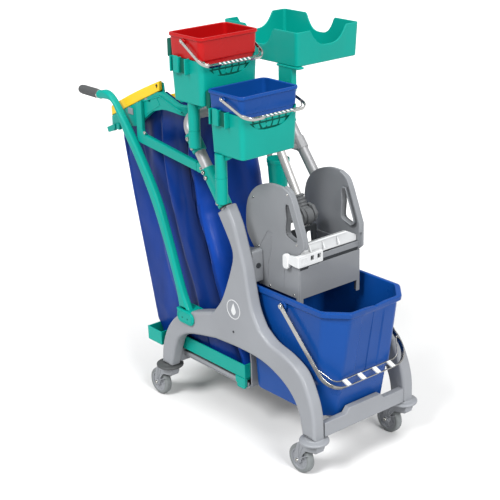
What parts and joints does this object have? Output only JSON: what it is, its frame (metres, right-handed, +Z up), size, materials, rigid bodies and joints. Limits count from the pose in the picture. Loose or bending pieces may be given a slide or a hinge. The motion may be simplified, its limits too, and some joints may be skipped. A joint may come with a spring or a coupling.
{
  "type": "housekeeping cart",
  "caption": "Wheeled housekeeping cart with a mop bucket and lever wringer, small pails on swivel posts, a tool tray, a push handle and a large open bag on a hoop.",
  "frame": {"origin": "middle of the footprint at floor level, where the wheels stand", "axes": "+X towards the mop bucket end, -Y towards the push handle's side, +Z up"},
  "size_m": [1.291, 0.794, 1.374],
  "materials": {
    "teal_plastic": "satin moulded polypropylene, teal",
    "grey_plastic": "satin moulded plastic, light grey with fine grain",
    "dark_plastic": "satin moulded plastic, dark grey",
    "wringer_plastic": "satin moulded plastic, mid grey",
    "blue_plastic": "glossy moulded polypropylene, blue",
    "red_plastic": "glossy moulded polypropylene, red",
    "yellow_plastic": "satin moulded plastic, yellow",
    "white_plastic": "glossy moulded plastic, white",
    "bag_cloth": "coated woven bag cloth, blue, slight sheen",
    "mast_tube_finish": "light grey powder coat on steel tube",
    "bright_steel": "bright plated steel",
    "lever_alloy": "anodised aluminium tube",
    "wheel_rubber": "grey non-marking rubber tread on a grey core"
  },
  "bodies": {
    "frame": {"side_frame_near": "grey_plastic", "side_frame_far": "grey_plastic", "base_pan": "grey_plastic", "front_crossbar": "grey_plastic", "mast_tube": "mast_tube_finish", "lower_clamp_near": "teal_plastic", "upper_clamp_near": "teal_plastic", "upper_clamp_far": "teal_plastic", "arm_collar_far": "grey_plastic", "handle_foot": "teal_plastic", "push_handle": "teal_plastic", "handle_grip": "dark_plastic", "bag_platform": "teal_plastic", "platform_bracket": "teal_plastic", "bag_arm_near": "teal_plastic", "bag_arm_far": "teal_plastic", "bag_hoop": "teal_plastic", "bag": "bag_cloth", "mop_bucket": "blue_plastic", "mop_handle_cup": "teal_plastic", "wringer_bracket_near": "wringer_plastic", "wringer_bracket_far": "wringer_plastic", "bumper_disc_front_near": "grey_plastic", "bumper_disc_front_far": "grey_plastic", "bumper_disc_rear_near": "dark_plastic", "bumper_disc_rear_far": "dark_plastic"},
    "caster_front_near": {"caster_fork_front_near": "grey_plastic", "caster_axle_front_near": "bright_steel"},
    "wheel_front_near": {"caster_wheel_front_near": "wheel_rubber"},
    "caster_front_far": {"caster_fork_front_far": "grey_plastic", "caster_axle_front_far": "bright_steel"},
    "wheel_front_far": {"caster_wheel_front_far": "wheel_rubber"},
    "caster_rear_near": {"caster_fork_rear_near": "grey_plastic", "caster_axle_rear_near": "bright_steel"},
    "wheel_rear_near": {"caster_wheel_rear_near": "wheel_rubber"},
    "caster_rear_far": {"caster_fork_rear_far": "grey_plastic", "caster_axle_rear_far": "bright_steel"},
    "wheel_rear_far": {"caster_wheel_rear_far": "wheel_rubber"},
    "mop_bail": {"mop_bucket_bail": "bright_steel", "mop_bucket_grip": "white_plastic"},
    "wringer": {"wringer_box": "wringer_plastic", "wringer_plate_near": "wringer_plastic", "wringer_plate_far": "wringer_plastic", "wringer_front_bar": "white_plastic"},
    "lever": {"lever_hub": "wringer_plastic", "lever_tube": "lever_alloy", "lever_grip": "dark_plastic"},
    "jaw": {"press_jaw": "wringer_plastic"},
    "clamp": {"bag_clamp": "yellow_plastic"},
    "blue_stand": {"blue_post": "teal_plastic", "blue_holder": "teal_plastic"},
    "blue_pail": {"blue_bucket": "blue_plastic"},
    "blue_pail_bail": {"blue_bail": "bright_steel"},
    "red_stand": {"red_post": "teal_plastic", "red_holder": "teal_plastic"},
    "red_pail": {"red_bucket": "red_plastic"},
    "red_pail_bail": {"red_bail": "bright_steel"},
    "tray_stand": {"tray_post": "teal_plastic", "tool_tray": "teal_plastic"}
  },
  "joints": [
    {"name": "caster_swivel_front_near", "type": "hinge", "parent": "frame", "child": "caster_front_near", "pos_m": [0.5735, -0.324, 0.125], "axis": [0, 0, 1], "continuous": true},
    {"name": "wheel_spin_front_near", "type": "hinge", "parent": "caster_front_near", "child": "wheel_front_near", "pos_m": [0.5135, -0.324, 0.05], "axis": [0, 1, 0], "continuous": true},
    {"name": "caster_swivel_front_far", "type": "hinge", "parent": "frame", "child": "caster_front_far", "pos_m": [0.5735, 0.084, 0.125], "axis": [0, 0, 1], "continuous": true},
    {"name": "wheel_spin_front_far", "type": "hinge", "parent": "caster_front_far", "child": "wheel_front_far", "pos_m": [0.5135, 0.084, 0.05], "axis": [0, 1, 0], "continuous": true},
    {"name": "caster_swivel_rear_near", "type": "hinge", "parent": "frame", "child": "caster_rear_near", "pos_m": [-0.1915, -0.324, 0.125], "axis": [0, 0, 1], "continuous": true},
    {"name": "wheel_spin_rear_near", "type": "hinge", "parent": "caster_rear_near", "child": "wheel_rear_near", "pos_m": [-0.2515, -0.324, 0.05], "axis": [0, 1, 0], "continuous": true},
    {"name": "caster_swivel_rear_far", "type": "hinge", "parent": "frame", "child": "caster_rear_far", "pos_m": [-0.1915, 0.084, 0.125], "axis": [0, 0, 1], "continuous": true},
    {"name": "wheel_spin_rear_far", "type": "hinge", "parent": "caster_rear_far", "child": "wheel_rear_far", "pos_m": [-0.2515, 0.084, 0.05], "axis": [0, 1, 0], "continuous": true},
    {"name": "mop_bail_hinge", "type": "hinge", "parent": "frame", "child": "mop_bail", "pos_m": [0.3965, -0.12, 0.539], "axis": [0, -1, 0], "range_deg": [0, 120]},
    {"name": "wringer_lift", "type": "slide", "parent": "frame", "child": "wringer", "axis": [0, 0, 1], "range_m": [0, 0.085]},
    {"name": "lever_hinge", "type": "hinge", "parent": "wringer", "child": "lever", "pos_m": [0.2815, -0.09, 0.765], "axis": [0, 1, 0], "range_deg": [0, 80]},
    {"name": "jaw_hinge", "type": "hinge", "parent": "wringer", "child": "jaw", "pos_m": [0.2475, -0.12, 0.586], "axis": [0, 1, 0], "range_deg": [0, 19.6]},
    {"name": "bag_clamp_hinge", "type": "hinge", "parent": "frame", "child": "clamp", "pos_m": [-0.2135, -0.12, 1.151], "axis": [0, 1, 0], "range_deg": [0, 75]},
    {"name": "blue_holder_swivel", "type": "hinge", "parent": "frame", "child": "blue_stand", "pos_m": [0.1785, -0.356, 0.9], "axis": [0, 0, 1], "range_deg": [-90, 0]},
    {"name": "blue_bucket_lift", "type": "slide", "parent": "blue_stand", "child": "blue_pail", "axis": [0, 0, 1], "range_m": [0, 0.055]},
    {"name": "blue_bail_hinge", "type": "hinge", "parent": "blue_pail", "child": "blue_pail_bail", "pos_m": [0.2225, -0.254, 1.196], "axis": [0, -1, 0], "range_deg": [0, 110]},
    {"name": "red_holder_swivel", "type": "hinge", "parent": "frame", "child": "red_stand", "pos_m": [0.0475, -0.356, 1.04], "axis": [0, 0, 1], "range_deg": [0, 90]},
    {"name": "red_bucket_lift", "type": "slide", "parent": "red_stand", "child": "red_pail", "axis": [0, 0, 1], "range_m": [0, 0.25]},
    {"name": "red_bail_hinge", "type": "hinge", "parent": "red_pail", "child": "red_pail_bail", "pos_m": [0.0475, -0.268, 1.354], "axis": [0, -1, 0], "range_deg": [0, 120]},
    {"name": "tray_swivel", "type": "hinge", "parent": "frame", "child": "tray_stand", "pos_m": [-0.0335, 0.118, 1.05], "axis": [0, 0, 1], "range_deg": [-90, 0]}
  ],
  "couplings": [
    {"joint": "jaw_hinge", "follows": "lever_hinge", "ratio": 0.24}
  ]
}
